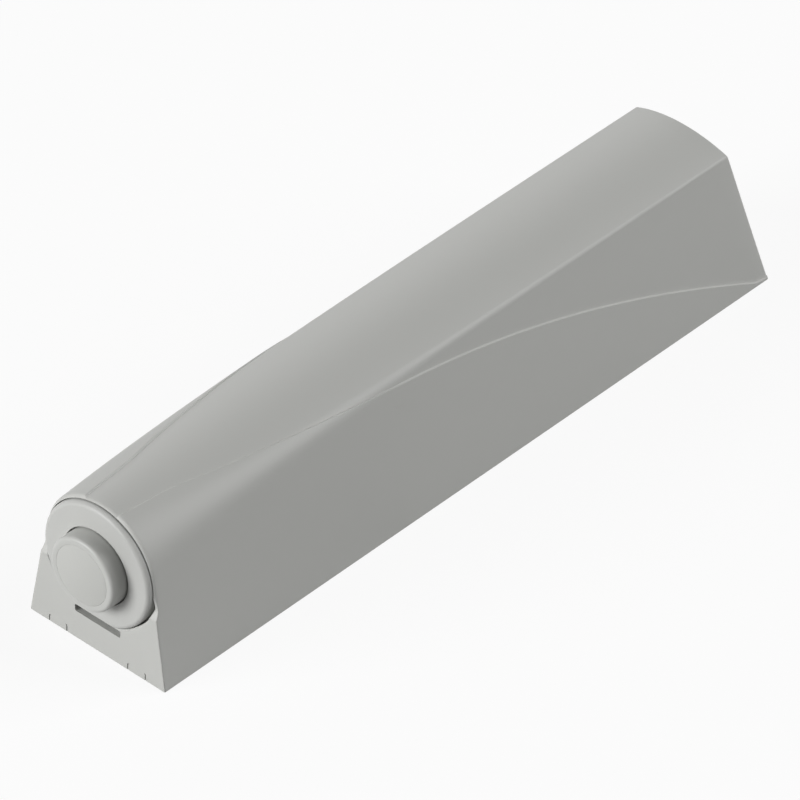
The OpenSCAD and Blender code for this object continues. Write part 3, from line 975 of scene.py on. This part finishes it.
def add_camera():
    away = Vector((math.cos(ELEVATION) * math.cos(AZIMUTH), math.cos(ELEVATION) * math.sin(AZIMUTH),
                   math.sin(ELEVATION)))
    level = Vector((-math.sin(AZIMUTH), math.cos(AZIMUTH), 0))
    upright = away.cross(level)
    right = level * math.cos(ROLL) + upright * math.sin(ROLL)
    up = upright * math.cos(ROLL) - level * math.sin(ROLL)
    spot = (TARGET + right * OFFSET[0] + up * OFFSET[1] + away * DISTANCE) * MM
    data = bpy.data.cameras.new("photo_camera")
    data.sensor_width = SENSOR
    data.lens = PIXELS_PER_MM * DISTANCE / PICTURE * SENSOR
    data.clip_end = 10
    camera = bpy.data.objects.new("photo_camera", data)
    axes = Matrix((right, up, away)).transposed().to_4x4()
    camera.matrix_world = Matrix.Translation(spot) @ axes
    bpy.context.scene.collection.objects.link(camera)
    bpy.context.scene.camera = camera


# Share of the floor's look that is plain white. The rest takes the object's shadow, and the tone that
# the floor throws back on the object is lower.
FLOOR_GLOW = 0.9
FLOOR_TONE = (0.9, 0.9, 0.9)
FLOOR_BOUNCE = (0.35, 0.35, 0.35)
# The floor lies this little below the part's flat underside
FLOOR_DROP = 0.02
FLOOR_REACH = 2.0


def add_floor():
    level = -FLOOR_DROP * MM
    mesh = bpy.data.meshes.new("floor")
    signs = ((-1, -1), (1, -1), (1, 1), (-1, 1))
    corners = [(x * FLOOR_REACH, y * FLOOR_REACH, level) for x, y in signs]
    mesh.from_pydata(corners, [], [(0, 1, 2, 3)])
    floor = bpy.data.objects.new("floor", mesh)
    bpy.context.scene.collection.objects.link(floor)
    finish = Finish("floor_white", Roughness=0.9)
    glow = finish.node("ShaderNodeEmission", Color=(1, 1, 1, 1), Strength=1.0)
    path = finish.node("ShaderNodeLightPath").outputs
    seen = Maths(finish, path["Is Camera Ray"]) + Maths(finish, path["Is Glossy Ray"])
    seen = seen + Maths(finish, path["Is Transmission Ray"])
    finish.use(Base_Color=finish.between(seen, FLOOR_BOUNCE, FLOOR_TONE))
    mix = finish.node("ShaderNodeMixShader", i0=seen * FLOOR_GLOW, i1=finish.shader.outputs[0],
                      i2=glow.outputs[0])
    finish.put(finish.tree.nodes["Material Output"].inputs["Surface"], mix.outputs[0])
    mesh.materials.append(finish.material)


# Each lamp: name, direction from the part, distance, size, strength at the part
LAMPS = [
    ("key", (1.0, -0.42, 0.36), 1.6, 0.9, 1.035),
    ("rear_left", (-0.6, -1.0, 0.5), 1.6, 1.2, 0.15),
    ("rear_right", (-1.0, 1.0, 1.0), 1.6, 1.2, 0.76),
]


def add_lamp(name, direction, distance, size, level):
    """A square soft lamp. A level of 1 lights a facing surface so that its colour renders as written."""
    data = bpy.data.lights.new(name, "AREA")
    data.shape = "SQUARE"
    data.size = size
    data.energy = level * math.pi ** 2 * distance ** 2
    lamp = bpy.data.objects.new(name, data)
    way = Vector(direction).normalized()
    lamp.location = way * distance
    lamp.rotation_euler = way.to_track_quat("Z", "Y").to_euler()
    bpy.context.scene.collection.objects.link(lamp)


def add_world():
    """A world that is white where a camera, glossy or transmission ray sees it, and lights nothing else."""
    world = bpy.data.worlds.new("studio")
    world.use_nodes = True
    nodes = world.node_tree.nodes
    links = world.node_tree.links
    dark = nodes["Background"]
    dark.inputs["Strength"].default_value = 0
    path = nodes.new("ShaderNodeLightPath").outputs
    mix = nodes.new("ShaderNodeMixShader")
    white = nodes.new("ShaderNodeBackground")
    white.inputs["Color"].default_value = (1, 1, 1, 1)
    seen = path["Is Camera Ray"]
    for kind in ("Is Glossy Ray", "Is Transmission Ray"):
        either = nodes.new("ShaderNodeMath")
        either.operation = "MAXIMUM"
        links.new(seen, either.inputs[0])
        links.new(path[kind], either.inputs[1])
        seen = either.outputs[0]
    links.new(seen, mix.inputs[0])
    links.new(dark.outputs[0], mix.inputs[1])
    links.new(white.outputs[0], mix.inputs[2])
    links.new(mix.outputs[0], nodes["World Output"].inputs["Surface"])
    bpy.context.scene.world = world


add_pieces()
add_camera()
add_floor()
add_world()
for lamp in LAMPS:
    add_lamp(*lamp)
bpy.context.scene.view_settings.view_transform = "Standard"
